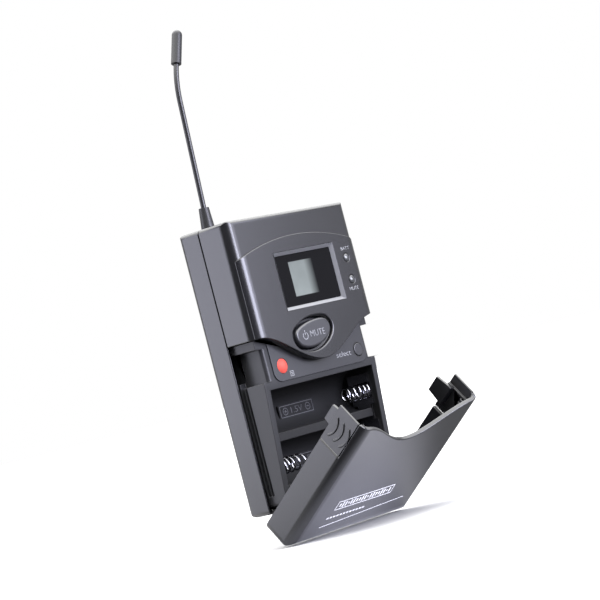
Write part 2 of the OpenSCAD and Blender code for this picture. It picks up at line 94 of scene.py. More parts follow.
class NodeSheet:
    """A small helper that places and links nodes in one node tree."""

    def __init__(self, tree: bpy.types.NodeTree) -> None:
        """Keeps the tree that the nodes go into."""
        self.tree = tree
        self.step = 0

    def add(self, kind: str, inputs: Optional[dict] = None, **settings: object) -> bpy.types.Node:
        """Adds one node.

        Args:
            kind: Blender's identifier of the node type.
            inputs: Socket name or index to a value or to an output socket.
            **settings: Properties set on the node itself.

        Returns:
            The new node.
        """
        node = self.tree.nodes.new(kind)
        node.location = (180 * (self.step % 8), -220 * (self.step // 8))
        self.step += 1
        for key, value in settings.items():
            setattr(node, key, value)
        for key, value in (inputs or {}).items():
            if isinstance(value, bpy.types.NodeSocket):
                self.tree.links.new(value, node.inputs[key])
            else:
                node.inputs[key].default_value = value
        return node

    def math(self, operation: str, *values: object, clamp: bool = False) -> bpy.types.NodeSocket:
        """A Math node's result.

        Args:
            operation: The Math node's operation.
            *values: Its operands, as numbers or output sockets.
            clamp: Whether the result is kept between 0 and 1.

        Returns:
            The output socket.
        """
        found = {i: v for i, v in enumerate(values)}
        return self.add("ShaderNodeMath", found, operation=operation, use_clamp=clamp).outputs[0]

    def spread(self, value: object, low: float, high: float, to_low: float, to_high: float) -> bpy.types.NodeSocket:
        """Maps a value from one range onto another, kept inside it."""
        node = self.add("ShaderNodeMapRange", {0: value, 1: low, 2: high, 3: to_low, 4: to_high})
        return node.outputs[0]

    def mix(self, share: object, first: object, second: object, blend: str = "MIX") -> bpy.types.NodeSocket:
        """Mixes two colours.

        Args:
            share: How much of the second colour is used.
            first: The colour or socket at share 0.
            second: The colour or socket at share 1.
            blend: The Mix node's blend type.

        Returns:
            The colour output socket.
        """
        node = self.add("ShaderNodeMix", None, data_type="RGBA", blend_type=blend)
        for index, value in ((0, share), (6, first), (7, second)):
            if isinstance(value, bpy.types.NodeSocket):
                self.tree.links.new(value, node.inputs[index])
            else:
                node.inputs[index].default_value = value
        return node.outputs[2]


class SurfaceGroups:
    """The shader node groups that several finishes share, each built once."""

    @staticmethod
    def _open(name: str, inputs: Sequence[tuple[str, str, float]], outputs: Sequence[tuple[str, str]]) -> tuple:
        """Starts a group with named sockets.

        Args:
            name: The group's name.
            inputs: Name, socket type and default of each input.
            outputs: Name and socket type of each output.

        Returns:
            The tree, its input node's sockets, its output node and a NodeSheet,
            or the tree alone with None for the rest if it was built before.
        """
        if name in bpy.data.node_groups:
            return bpy.data.node_groups[name], None, None, None
        tree = bpy.data.node_groups.new(name, "ShaderNodeTree")
        for label, kind, default in inputs:
            socket = tree.interface.new_socket(name=label, in_out="INPUT", socket_type=kind)
            if kind == "NodeSocketFloat":
                socket.default_value = default
        for label, kind in outputs:
            tree.interface.new_socket(name=label, in_out="OUTPUT", socket_type=kind)
        sheet = NodeSheet(tree)
        start = sheet.add("NodeGroupInput")
        end = sheet.add("NodeGroupOutput")
        return tree, start.outputs, end, sheet

    @classmethod
    def moulded_grain(cls) -> bpy.types.NodeTree:
        """Fine spark-eroded texture of moulded plastic: a height and a shade."""
        tree, ins, end, n = cls._open(
            "moulded_grain",
            [("Vector", "NodeSocketVector", 0), ("Pitch", "NodeSocketFloat", 3000), ("Mottle", "NodeSocketFloat", 0.1)],
            [("Height", "NodeSocketFloat"), ("Shade", "NodeSocketFloat"), ("Gloss", "NodeSocketFloat")],
        )
        if n is None:
            return tree
        fine = n.add(
            "ShaderNodeTexNoise",
            {"Vector": ins["Vector"], "Scale": ins["Pitch"], "Detail": 2.0, "Roughness": 0.55},
        )
        cells = n.add("ShaderNodeTexVoronoi", {"Vector": ins["Vector"], "Scale": ins["Pitch"]}, feature="SMOOTH_F1")
        height = n.math("ADD", n.math("MULTIPLY", fine.outputs[0], 0.65), n.math("MULTIPLY", cells.outputs[0], 0.35))
        broad = n.add("ShaderNodeTexNoise", {"Vector": ins["Vector"], "Scale": 55.0, "Detail": 4.0, "Roughness": 0.6})
        swing = n.math("MULTIPLY", n.math("SUBTRACT", broad.outputs[0], 0.5), ins["Mottle"])
        speck = n.math("MULTIPLY", n.math("SUBTRACT", fine.outputs[0], 0.5), n.math("MULTIPLY", ins["Mottle"], 0.8))
        links = tree.links
        links.new(height, end.inputs["Height"])
        links.new(n.math("ADD", 1.0, n.math("ADD", swing, speck)), end.inputs["Shade"])
        links.new(n.math("MULTIPLY", swing, 0.6), end.inputs["Gloss"])
        return tree

    @classmethod
    def rubbed_edge(cls) -> bpy.types.NodeTree:
        """Where handling has polished an outer edge, broken up by noise."""
        tree, ins, end, n = cls._open(
            "rubbed_edge",
            [("Vector", "NodeSocketVector", 0), ("Width", "NodeSocketFloat", 0.0004), ("Amount", "NodeSocketFloat", 0.5)],
            [("Mask", "NodeSocketFloat")],
        )
        if n is None:
            return tree
        soft = n.add("ShaderNodeBevel", {"Radius": ins["Width"]}, samples=4)
        flat = n.add("ShaderNodeNewGeometry")
        turn = n.add("ShaderNodeVectorMath", {0: soft.outputs[0], 1: flat.outputs["Normal"]}, operation="DOT_PRODUCT")
        bend = n.spread(turn.outputs["Value"], 0.995, 0.86, 0.0, 1.0)
        patch = n.add("ShaderNodeTexNoise", {"Vector": ins["Vector"], "Scale": 420.0, "Detail": 3.0})
        broken = n.spread(patch.outputs[0], 0.3, 0.62, 0.25, 1.0)
        tree.links.new(n.math("MULTIPLY", n.math("MULTIPLY", bend, broken), ins["Amount"]), end.inputs["Mask"])
        return tree

    @classmethod
    def fine_dust(cls) -> bpy.types.NodeTree:
        """A thin film of dust that lies thicker on upward faces."""
        tree, ins, end, n = cls._open(
            "fine_dust",
            [("Vector", "NodeSocketVector", 0), ("Amount", "NodeSocketFloat", 0.1)],
            [("Mask", "NodeSocketFloat")],
        )
        if n is None:
            return tree
        flat = n.add("ShaderNodeNewGeometry")
        up = n.add("ShaderNodeSeparateXYZ", {0: flat.outputs["Normal"]})
        lying = n.spread(up.outputs[2], -0.2, 1.0, 0.25, 1.0)
        cloud = n.add("ShaderNodeTexNoise", {"Vector": ins["Vector"], "Scale": 130.0, "Detail": 5.0, "Roughness": 0.65})
        thick = n.spread(cloud.outputs[0], 0.42, 0.72, 0.1, 1.0)
        tree.links.new(n.math("MULTIPLY", n.math("MULTIPLY", lying, thick), ins["Amount"]), end.inputs["Mask"])
        return tree

    @classmethod
    def drawn_metal(cls) -> bpy.types.NodeTree:
        """Fine lines left on metal by drawing or turning, along one axis."""
        tree, ins, end, n = cls._open(
            "drawn_metal",
            [("Vector", "NodeSocketVector", 0), ("Pitch", "NodeSocketFloat", 2500)],
            [("Height", "NodeSocketFloat"), ("Gloss", "NodeSocketFloat")],
        )
        if n is None:
            return tree
        along = n.add("ShaderNodeMapping", {"Vector": ins["Vector"], "Scale": (0.06, 1.0, 1.0)})
        lines = n.add("ShaderNodeTexNoise", {"Vector": along.outputs[0], "Scale": ins["Pitch"], "Detail": 2.0})
        stain = n.add("ShaderNodeTexNoise", {"Vector": ins["Vector"], "Scale": 300.0, "Detail": 3.0})
        tree.links.new(lines.outputs[0], end.inputs["Height"])
        tree.links.new(n.math("MULTIPLY", n.math("SUBTRACT", stain.outputs[0], 0.5), 0.3), end.inputs["Gloss"])
        return tree


# ---------------------------------------------------------------- finishes


@dataclass(frozen=True)
class Finish:
    """What every finish has: a name, a colour and how glossy it is."""

    name: str
    colour: tuple[float, float, float]
    roughness: float = 0.45

    def material(self) -> bpy.types.Material:
        """The finish's material, built on first use."""
        found = bpy.data.materials.get(self.name)
        if found is None:
            found = bpy.data.materials.new(self.name)
            found.use_nodes = True
            found.node_tree.nodes.clear()
            found.diffuse_color = (*self.colour, 1.0)
            sheet = NodeSheet(found.node_tree)
            shader = self.shade(sheet)
            out = sheet.add("ShaderNodeOutputMaterial")
            found.node_tree.links.new(shader, out.inputs["Surface"])
        return found

    def shade(self, n: NodeSheet) -> bpy.types.NodeSocket:
        """Builds the shader and returns its output socket."""
        raise NotImplementedError

    def rgba(self, gain: float = 1.0) -> tuple[float, float, float, float]:
        """The finish's colour times a gain, with full alpha."""
        return (*(min(1.0, c * gain) for c in self.colour), 1.0)


@dataclass(frozen=True)
class MouldedPlastic(Finish):
    """Injection-moulded plastic with a fine texture and handled edges."""

    pitch: float = 3200.0
    depth: float = 0.003
    mottle: float = 0.03
    rub: float = 0.35
    dust: float = 0.004
    sheen_level: float = 0.8
    coat: float = 0.0

    def gloss(self, n: NodeSheet, place: bpy.types.NodeSocket) -> object:
        """The roughness before grain, rubbing and dust change it."""
        return self.roughness

    def tone(self, n: NodeSheet, place: bpy.types.NodeSocket) -> object:
        """The colour before grain, rubbing and dust change it."""
        return self.rgba()

    def shade(self, n: NodeSheet) -> bpy.types.NodeSocket:
        """Base colour, roughness and bump from grain, rubbed edges and dust."""
        place = n.add("ShaderNodeTexCoord").outputs["Object"]
        grain = n.add("ShaderNodeGroup", None, node_tree=SurfaceGroups.moulded_grain())
        rub = n.add("ShaderNodeGroup", None, node_tree=SurfaceGroups.rubbed_edge())
        dust = n.add("ShaderNodeGroup", None, node_tree=SurfaceGroups.fine_dust())
        for group in (grain, rub, dust):
            n.tree.links.new(place, group.inputs["Vector"])
        grain.inputs["Pitch"].default_value = self.pitch
        grain.inputs["Mottle"].default_value = self.mottle
        rub.inputs["Amount"].default_value = self.rub
        dust.inputs["Amount"].default_value = self.dust
        grade = grain.outputs["Shade"]
        shade = n.add("ShaderNodeCombineColor", {0: grade, 1: grade, 2: grade})
        base = n.mix(1.0, self.tone(n, place), shade.outputs[0], "MULTIPLY")
        worn = n.mix(rub.outputs["Mask"], base, self.rgba(1.9))
        dusty = n.mix(dust.outputs["Mask"], worn, (0.46, 0.45, 0.43, 1.0))
        rough = n.math("ADD", self.gloss(n, place), grain.outputs["Gloss"])
        rough = n.math("SUBTRACT", rough, n.math("MULTIPLY", rub.outputs["Mask"], 0.03))
        rough = n.math("ADD", rough, n.math("MULTIPLY", dust.outputs["Mask"], 0.5), clamp=True)
        bump = n.add(
            "ShaderNodeBump", {"Strength": 0.5, "Distance": self.depth * MM, "Height": grain.outputs["Height"]},
        )
        shader = n.add(
            "ShaderNodeBsdfPrincipled",
            {
                "Base Color": dusty,
                "Roughness": rough,
                "Normal": bump.outputs[0],
                "Specular IOR Level": self.sheen_level,
                "Coat Weight": self.coat,
                "Coat Roughness": 0.12,
            },
        )
        return shader.outputs[0]


@dataclass(frozen=True)
class TrayPlastic(MouldedPlastic):
    """The tray's plastic: satin outside, coarse and dull inside the cell bay, where its colour is darkened as painted
    shade.
    """

    inner_roughness: float = 0.7
    bay_painted_shade: float = 0.25

    @staticmethod
    def inside(n: NodeSheet, place: bpy.types.NodeSocket) -> bpy.types.NodeSocket:
        """One inside the cell bay and nothing outside it."""
        split = n.add("ShaderNodeSeparateXYZ", {0: place})
        across = n.math("ABSOLUTE", split.outputs[0])
        between = n.math("LESS_THAN", across, 28.6 * MM)
        low = n.math("LESS_THAN", split.outputs[2], at(0, 0, 43.6).z)
        deep = n.math("GREATER_THAN", split.outputs[1], at(0, -10.4, 0).y)
        return n.math("MULTIPLY", between, n.math("MULTIPLY", low, deep))

    def gloss(self, n: NodeSheet, place: bpy.types.NodeSocket) -> object:
        """Dull inside the bay."""
        return n.spread(self.inside(n, place), 0.0, 1.0, self.roughness, self.inner_roughness)

    def tone(self, n: NodeSheet, place: bpy.types.NodeSocket) -> object:
        """Darker inside the bay: painted shade of the deep recess."""
        # The bay's darker colour is painted shade.
        return n.mix(self.inside(n, place), self.rgba(), self.rgba(self.bay_painted_shade))


@dataclass(frozen=True)
class BareMetal(Finish):
    """Plated, drawn or turned metal with fine lines."""

    pitch: float = 2600.0
    depth: float = 0.004

    def shade(self, n: NodeSheet) -> bpy.types.NodeSocket:
        """A metal shader with line bump and uneven gloss."""
        place = n.add("ShaderNodeTexCoord").outputs["Object"]
        drawn = n.add("ShaderNodeGroup", None, node_tree=SurfaceGroups.drawn_metal())
        n.tree.links.new(place, drawn.inputs["Vector"])
        drawn.inputs["Pitch"].default_value = self.pitch
        rough = n.math("ADD", self.roughness, n.math("MULTIPLY", drawn.outputs["Gloss"], 0.6), clamp=True)
        bump = n.add(
            "ShaderNodeBump", {"Strength": 0.5, "Distance": self.depth * MM, "Height": drawn.outputs["Height"]},
        )
        shade = n.spread(drawn.outputs["Height"], 0.2, 0.8, 0.9, 1.04)
        grey = n.add("ShaderNodeCombineColor", {0: shade, 1: shade, 2: shade})
        base = n.mix(1.0, self.rgba(), grey.outputs[0], "MULTIPLY")
        shader = n.add(
            "ShaderNodeBsdfPrincipled",
            {"Base Color": base, "Metallic": 1.0, "Roughness": rough, "Normal": bump.outputs[0]},
        )
        return shader.outputs[0]


@dataclass(frozen=True)
class DisplayGlass(Finish):
    """Dark glossy window with a liquid-crystal panel in one part of it; the panel's glow is painted light, and its
    dimming to the right is painted shadow of the window's edge.
    """

    panel: tuple[float, float, float] = (0.080, 0.089, 0.088)
    # glow: painted light, the panel glows in place of light falling on it through the glass.
    glow: float = 1.9
    left: float = -6.2
    # Where the panel darkens to the right: painted shadow of the window's edge.
    edge_shadow_span: tuple[float, float] = (2.2, 6.8)
    foot: float = 71.9
    head: float = 84.4
    edge: float = 0.12

    def shade(self, n: NodeSheet) -> bpy.types.NodeSocket:
        """Black glass, with the panel's area picked out by its place."""
        place = n.add("ShaderNodeTexCoord").outputs["Object"]
        split = n.add("ShaderNodeSeparateXYZ", {0: place})
        x, z = split.outputs[0], split.outputs[2]
        low, high = at(0, 0, self.foot).z, at(0, 0, self.head).z
        soft = self.edge * MM
        begun = n.spread(x, self.left * MM - soft, self.left * MM + soft, 0.0, 1.0)
        # Painted shadow of the window's edge over the panel's right part.
        edge_shadowed = n.spread(x, self.edge_shadow_span[0] * MM, self.edge_shadow_span[1] * MM, 1.0, 0.0)
        above = n.spread(z, low - soft, low + soft, 0.0, 1.0)
        below = n.spread(z, high - soft, high + soft, 1.0, 0.0)
        tall = n.math("MULTIPLY", above, below)
        share = n.math("MULTIPLY", n.math("MULTIPLY", begun, edge_shadowed), tall)
        rows = n.add("ShaderNodeTexWave", {"Vector": place, "Scale": 900.0}, bands_direction="Z")
        cloud = n.add("ShaderNodeTexNoise", {"Vector": place, "Scale": 160.0, "Detail": 2.0})
        lines = n.spread(rows.outputs[1], 0.0, 1.0, 0.96, 1.0)
        tone = n.math("ADD", lines, n.spread(cloud.outputs[0], 0.3, 0.7, -0.05, 0.05))
        tone = n.math("MULTIPLY", tone, n.spread(z, low, high, 1.08, 0.92))
        grey = n.add("ShaderNodeCombineColor", {0: tone, 1: tone, 2: tone})
        lit = n.mix(1.0, (*self.panel, 1.0), grey.outputs[0], "MULTIPLY")
        base = n.mix(share, self.rgba(), lit)
        # The panel's emission is painted light.
        shader = n.add(
            "ShaderNodeBsdfPrincipled",
            {"Base Color": base, "Roughness": self.roughness, "Specular IOR Level": 0.14,
             "Emission Color": n.mix(share, (0.0, 0.0, 0.0, 1.0), lit), "Emission Strength": self.glow},
        )
        return shader.outputs[0]


@dataclass(frozen=True)
class TintedLens(Finish):
    """Translucent coloured plastic, such as the infrared window; its glow is painted light."""

    # glow: painted light of the plastic itself.
    glow: float = 0.15
    coat: float = 0.6

    def shade(self, n: NodeSheet) -> bpy.types.NodeSocket:
        """A coated coloured shader whose emission is painted light: the plastic glows though no lamp lights it."""
        place = n.add("ShaderNodeTexCoord").outputs["Object"]
        cloud = n.add("ShaderNodeTexNoise", {"Vector": place, "Scale": 500.0, "Detail": 2.0})
        share = n.spread(cloud.outputs[0], 0.3, 0.7, 0.0, 0.25)
        base = n.mix(share, self.rgba(), self.rgba(0.6))
        shader = n.add(
            "ShaderNodeBsdfPrincipled",
            {
                "Base Color": base,
                "Roughness": self.roughness,
                "Coat Weight": self.coat,
                "Coat Roughness": 0.15,
                "Emission Color": base,
                "Emission Strength": self.glow,
            },
        )
        return shader.outputs[0]


@dataclass(frozen=True)
class PadPrint(Finish):
    """Printed ink with slightly uneven cover."""

    def shade(self, n: NodeSheet) -> bpy.types.NodeSocket:
        """A thin matt ink whose tone varies a little."""
        place = n.add("ShaderNodeTexCoord").outputs["Object"]
        cover = n.add("ShaderNodeTexNoise", {"Vector": place, "Scale": 4200.0, "Detail": 2.0})
        share = n.spread(cover.outputs[0], 0.35, 0.75, 0.0, 0.35)
        base = n.mix(share, self.rgba(), self.rgba(0.55))
        shader = n.add("ShaderNodeBsdfPrincipled", {"Base Color": base, "Roughness": self.roughness})
        return shader.outputs[0]


class Look(Enum):
    """The finishes of the transmitter's pieces."""

    SHELL = MouldedPlastic("shell_plastic", (0.0070, 0.0072, 0.0088), 0.28)
    SHIELD = MouldedPlastic("shield_plastic", (0.0078, 0.0080, 0.0102), 0.27, rub=0.3)
    DOOR = MouldedPlastic("door_plastic", (0.0072, 0.0075, 0.0094), 0.28)
    TRAY = TrayPlastic("tray_plastic", (0.0260, 0.0264, 0.0290), 0.33, rub=0.25, sheen_level=0.35)
    PANEL = MouldedPlastic("panel_film", (0.0160, 0.0165, 0.0205), 0.33, pitch=5200.0, depth=0.006)
    LATCH = MouldedPlastic("latch_plastic", (0.0066, 0.0067, 0.0076), 0.30)
    BUTTON = MouldedPlastic("button_plastic", (0.0200, 0.0205, 0.0245), 0.34, rub=0.5)
    BLACK = MouldedPlastic("black_plastic", (0.0060, 0.0060, 0.0065), 0.4, rub=0.15)
    RUBBER = MouldedPlastic(
        "antenna_rubber", (0.0080, 0.0082, 0.0098), 0.40, depth=0.0, mottle=0.01, rub=0.1, sheen_level=0.45,
    )
    SLEEVE = MouldedPlastic(
        "wire_sleeve", (0.0090, 0.0092, 0.0108), 0.34, depth=0.0, mottle=0.01, rub=0.1, sheen_level=0.6,
    )
    BOARD = MouldedPlastic("board_mask", (0.006, 0.045, 0.020), 0.3, pitch=900.0, rub=0.1)
    CLIP = MouldedPlastic("clip_paint", (0.0090, 0.0090, 0.0100), 0.36, pitch=4200.0, rub=0.7)
    LEAD = MouldedPlastic("lead_sleeve", (0.42, 0.02, 0.015), 0.35, rub=0.0)
    NICKEL = BareMetal("nickel_plate", (0.50, 0.50, 0.52), 0.2)
    SPRING = BareMetal("spring_wire", (0.30, 0.30, 0.32), 0.18)
    STEEL = BareMetal("screw_steel", (0.42, 0.43, 0.45), 0.32)
    TIN = BareMetal("tinned_can", (0.62, 0.63, 0.64), 0.3)
    WINDOW = DisplayGlass("display_window", (0.004, 0.004, 0.005), 0.10)
    # The infrared window's glow is painted light.
    RED = TintedLens("infrared_red", (0.60, 0.070, 0.050), 0.7, glow=0.26, coat=0.0)
    LAMP = TintedLens("lamp_clear", (0.050, 0.051, 0.055), 0.15, glow=0.0, coat=0.5)
    # The lamp core's glow is a painted highlight.
    LAMP_CORE_HIGHLIGHT = TintedLens("lamp_core_highlight", (0.26, 0.27, 0.27), 0.4, glow=0.4, coat=0.1)
    # The window chamfer's light colour is a painted highlight on the shield's plastic.
    CHAMFER_HIGHLIGHT = MouldedPlastic("window_chamfer_highlight", (0.14, 0.142, 0.150), 0.4, rub=0.0)
    # The raised marks are the tray's plastic; their lighter colour is a painted highlight.
    MARK_HIGHLIGHT = MouldedPlastic("raised_marks_highlight", (0.060, 0.061, 0.068), 0.3, rub=0.6)
    INK = PadPrint("white_ink", (0.34, 0.345, 0.36), 0.5)
    INK_GREY = PadPrint("grey_ink", (0.24, 0.245, 0.26), 0.5)
    DOOR_INK = PadPrint("door_ink", (0.88, 0.88, 0.89), 0.5)


# ---------------------------------------------------------------- mesh tools


class Bench:
    """Turns bmeshes into finished pieces that ride on the frame's bodies."""

    made: list[bpy.types.Object] = []

    @classmethod
    def piece(
        cls,
        name: str,
        bm: bmesh.types.BMesh,
        look: Look,
        body: str,
        slot: str,
        nodes: Iterable[str] = (),
        smooth_angle: float = 40.0,
    ) -> bpy.types.Object:
        """Makes one object out of a bmesh and puts it on its body.

        Args:
            name: The piece's name.
            bm: Its mesh, already in place; it is freed here.
            look: The finish it takes.
            body: The body it rides on.
            slot: The record's material slot it belongs to; not used.
            nodes: The CAD nodes that it stands for.
            smooth_angle: Edges sharper than this stay sharp, in degrees.

        Returns:
            The finished object.
        """
        mesh = bpy.data.meshes.new(name)
        bm.to_mesh(mesh)
        bm.free()
        mesh.materials.append(look.value.material())
        mesh.shade_smooth()
        mesh.set_sharp_from_angle(angle=math.radians(smooth_angle))
        made = bpy.data.objects.new(name, mesh)
        bpy.context.scene.collection.objects.link(made)
        weigh = made.modifiers.new("flat_faces", "WEIGHTED_NORMAL")
        weigh.keep_sharp = True
        weigh.weight = 90
        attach(made, body)
        if nodes:
            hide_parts(*nodes)
        cls.made.append(made)
        LOG.info("%s: %d faces on %s", name, len(mesh.polygons), body)
        return made

    @staticmethod
    def node_copy(frame: dict, node: str) -> bmesh.types.BMesh:
        """A merged copy of a CAD node's mesh, its flat faces made whole.

        Args:
            node: The CAD node's name.

        Returns:
            A new bmesh.
        """
        bm = bmesh.new()
        bm.from_mesh(frame["nodes"][node].data)
        bmesh.ops.remove_doubles(bm, verts=bm.verts, dist=2e-6)
        bmesh.ops.dissolve_limit(
            bm, angle_limit=math.radians(0.6), use_dissolve_boundaries=False,
            verts=bm.verts, edges=bm.edges, delimit=set()
        )
        return bm

    @staticmethod
    def soften(bm: bmesh.types.BMesh, width: float, segments: int = 2, angle: float = 38.0,
               keep: Optional[Callable[[bmesh.types.BMEdge], bool]] = None) -> None:
        """Rounds the sharp edges of a mesh.

        Args:
            bm: The mesh, changed in place.
            width: The rounding's width, in millimetres.
            segments: How many faces each rounding gets.
            angle: Edges that turn by less than this are left, in degrees.
            keep: Optional test that an edge must also pass.
        """
        limit = math.radians(angle)
        edges = [
            e for e in bm.edges
            if e.is_manifold and e.calc_face_angle(0.0) > limit and (keep is None or keep(e))
        ]
        bmesh.ops.bevel(
            bm, geom=edges, offset=width * MM, offset_type="OFFSET", affect="EDGES", segments=segments,
            profile=0.5, clamp_overlap=False, loop_slide=True, material=-1,
        )

    @staticmethod
    def dress(frame: dict, node: str, look: Look) -> None:
        """Gives a CAD node that keeps its own shape a better material."""
        found = frame["nodes"][node]
        found.data.materials.clear()
        found.data.materials.append(look.value.material())
        LOG.info("%s: CAD solid in %s", node, look.value.name)


@dataclass
class Rounding:
    """One pass of edge rounding: its width, and where it applies."""

    width: float
    segments: int = 2
    where: Optional[Callable[[Vector], bool]] = None


@dataclass
class SoftenedNodes:
    """CAD solids shown as copies with rounded edges."""

    frame: dict
    passes: dict[str, tuple[Look, tuple[Rounding, ...]]] = field(default_factory=dict)

    def body_of(self, node: str) -> str:
        """The body that a CAD node belongs to."""
        groups = self.frame["record"]["behaviour"]["bodies"]
        return next(b for b, members in groups.items() if node in members)

    def slot_of(self, node: str) -> str:
        """The record's material slot of a CAD node."""
        parts = self.frame["record"]["subparts"]
        return next(p["material_slot"] for p in parts if p["node"] == node)

    def build(self) -> None:
        """Makes one softened copy for each listed node."""
        for node, (look, rounds) in self.passes.items():
            bm = Bench.node_copy(self.frame, node)
            for turn in rounds:
                where = turn.where
                keep = None if where is None else (lambda e, w=where: all(w(v.co) for v in e.verts))
                Bench.soften(bm, turn.width, turn.segments, keep=keep)
            Bench.piece(f"{node}_soft", bm, look, self.body_of(node), self.slot_of(node), [node])


# ---------------------------------------------------------------- fine detail


def swung_open(angle: float = 54.0, pivot: tuple[float, float] = (5.6, 3.8)) -> Matrix:
    """The turn from the closed door's place to the open one.

    Args:
        angle: How far the door stands open, in degrees.
        pivot: Depth and height of the hinge pins, in millimetres.

    Returns:
        A matrix in the row frame.
    """
    centre = at(0, *pivot)
    turn = Matrix.Rotation(math.radians(angle), 4, "X")
    return Matrix.Translation(centre) @ turn @ Matrix.Translation(-centre)


class Marks:
    """Small raised or printed marks, drawn upright and facing the front."""

    @staticmethod
    def word(text: str, width: float, height: float, thick: float = 0.04) -> bmesh.types.BMesh:
        """A word as a thin solid, centred on the origin and facing -Y.

        Args:
            text: What it says.
            width: Its width, in millimetres.
            height: Its height, in millimetres.
            thick: How far it stands out, in millimetres.

        Returns:
            A bmesh in metres.
        """
        curve = bpy.data.curves.new("word", "FONT")
        curve.body = text
        curve.resolution_u = 3
        curve.extrude = 0.5
        curve.offset = -0.012
        holder = bpy.data.objects.new("word", curve)
        mesh = bpy.data.meshes.new_from_object(holder)
        bm = bmesh.new()
        bm.from_mesh(mesh)
        bpy.data.objects.remove(holder)
        bpy.data.curves.remove(curve)
        bpy.data.meshes.remove(mesh)
        bmesh.ops.remove_doubles(bm, verts=bm.verts, dist=1e-5)
        low = Vector([min(v.co[i] for v in bm.verts) for i in range(3)])
        high = Vector([max(v.co[i] for v in bm.verts) for i in range(3)])
        bmesh.ops.translate(bm, verts=bm.verts, vec=-(low + high) / 2)
        size = high - low
        bmesh.ops.scale(bm, verts=bm.verts, vec=(width * MM / size.x, height * MM / size.y, thick * MM / size.z))
        bmesh.ops.rotate(bm, verts=bm.verts, matrix=Matrix.Rotation(math.radians(90), 3, "X"))
        return bm

    @staticmethod
    def bar(bm: bmesh.types.BMesh, x: float, z: float, width: float, height: float, thick: float = 0.04,
            turn: float = 0.0) -> None:
        """Adds a thin rectangular bar, given in millimetres, turned about Y."""
        made = bmesh.ops.create_cube(bm, size=1.0)["verts"]
        bmesh.ops.scale(bm, verts=made, vec=(width * MM, thick * MM, height * MM))
        bmesh.ops.rotate(bm, verts=made, matrix=Matrix.Rotation(math.radians(turn), 3, "Y"))
        bmesh.ops.translate(bm, verts=made, vec=(x * MM, 0, z * MM))

    @staticmethod
    def arc(bm: bmesh.types.BMesh, x: float, z: float, radius: float, line: float, start: float, sweep: float,
            thick: float = 0.04) -> None:
        """Adds part of a ring by spinning a small square section.

        Args:
            bm: The mesh that it is added to.
            x: Its centre across, in millimetres.
            z: Its centre's height, in millimetres.
            radius: Its middle radius, in millimetres.
            line: How wide its line is, in millimetres.
            start: Where it starts, in degrees from the right.
            sweep: How far it goes round, in degrees.
            thick: How far it stands out, in millimetres.
        """
        corners = [(-0.5, -0.5), (0.5, -0.5), (0.5, 0.5), (-0.5, 0.5)]
        verts = [bm.verts.new(((radius + a * line) * MM, b * thick * MM, 0)) for a, b in corners]
        face = bm.faces.new(verts)
        whole = abs(sweep) >= 359.9
        steps = max(8, int(abs(sweep) / 12))
        bmesh.ops.spin(
            bm, geom=[face, *face.edges, *verts], cent=(0, 0, 0), axis=(0, -1, 0), dvec=(0, 0, 0),
            angle=math.radians(sweep), steps=steps, use_merge=whole, use_duplicate=False,
        )
        everything = {v for v in bm.verts if v.is_valid and (v in verts or v.link_faces)}
        linked = set(verts)
        front = list(verts)
        while front:
            vert = front.pop()
            for edge in vert.link_edges:
                other = edge.other_vert(vert)
                if other in everything and other not in linked:
                    linked.add(other)
                    front.append(other)
        if whole:
            inner = [f for f in bm.faces if set(f.verts) == set(verts)]
            bmesh.ops.delete(bm, geom=inner, context="FACES_ONLY")
        ring = list(linked)
        bmesh.ops.rotate(bm, verts=ring, matrix=Matrix.Rotation(math.radians(-start), 3, "Y"))
        bmesh.ops.translate(bm, verts=ring, vec=(x * MM, 0, z * MM))

    @staticmethod
    def settle(bm: bmesh.types.BMesh, place: Vector, after: Optional[Matrix] = None) -> bmesh.types.BMesh:
        """Moves finished marks to their place, then through a second turn."""
        bmesh.ops.recalc_face_normals(bm, faces=bm.faces)
        bmesh.ops.translate(bm, verts=bm.verts, vec=place)
        if after is not None:
            bmesh.ops.transform(bm, matrix=after, verts=bm.verts)
        return bm


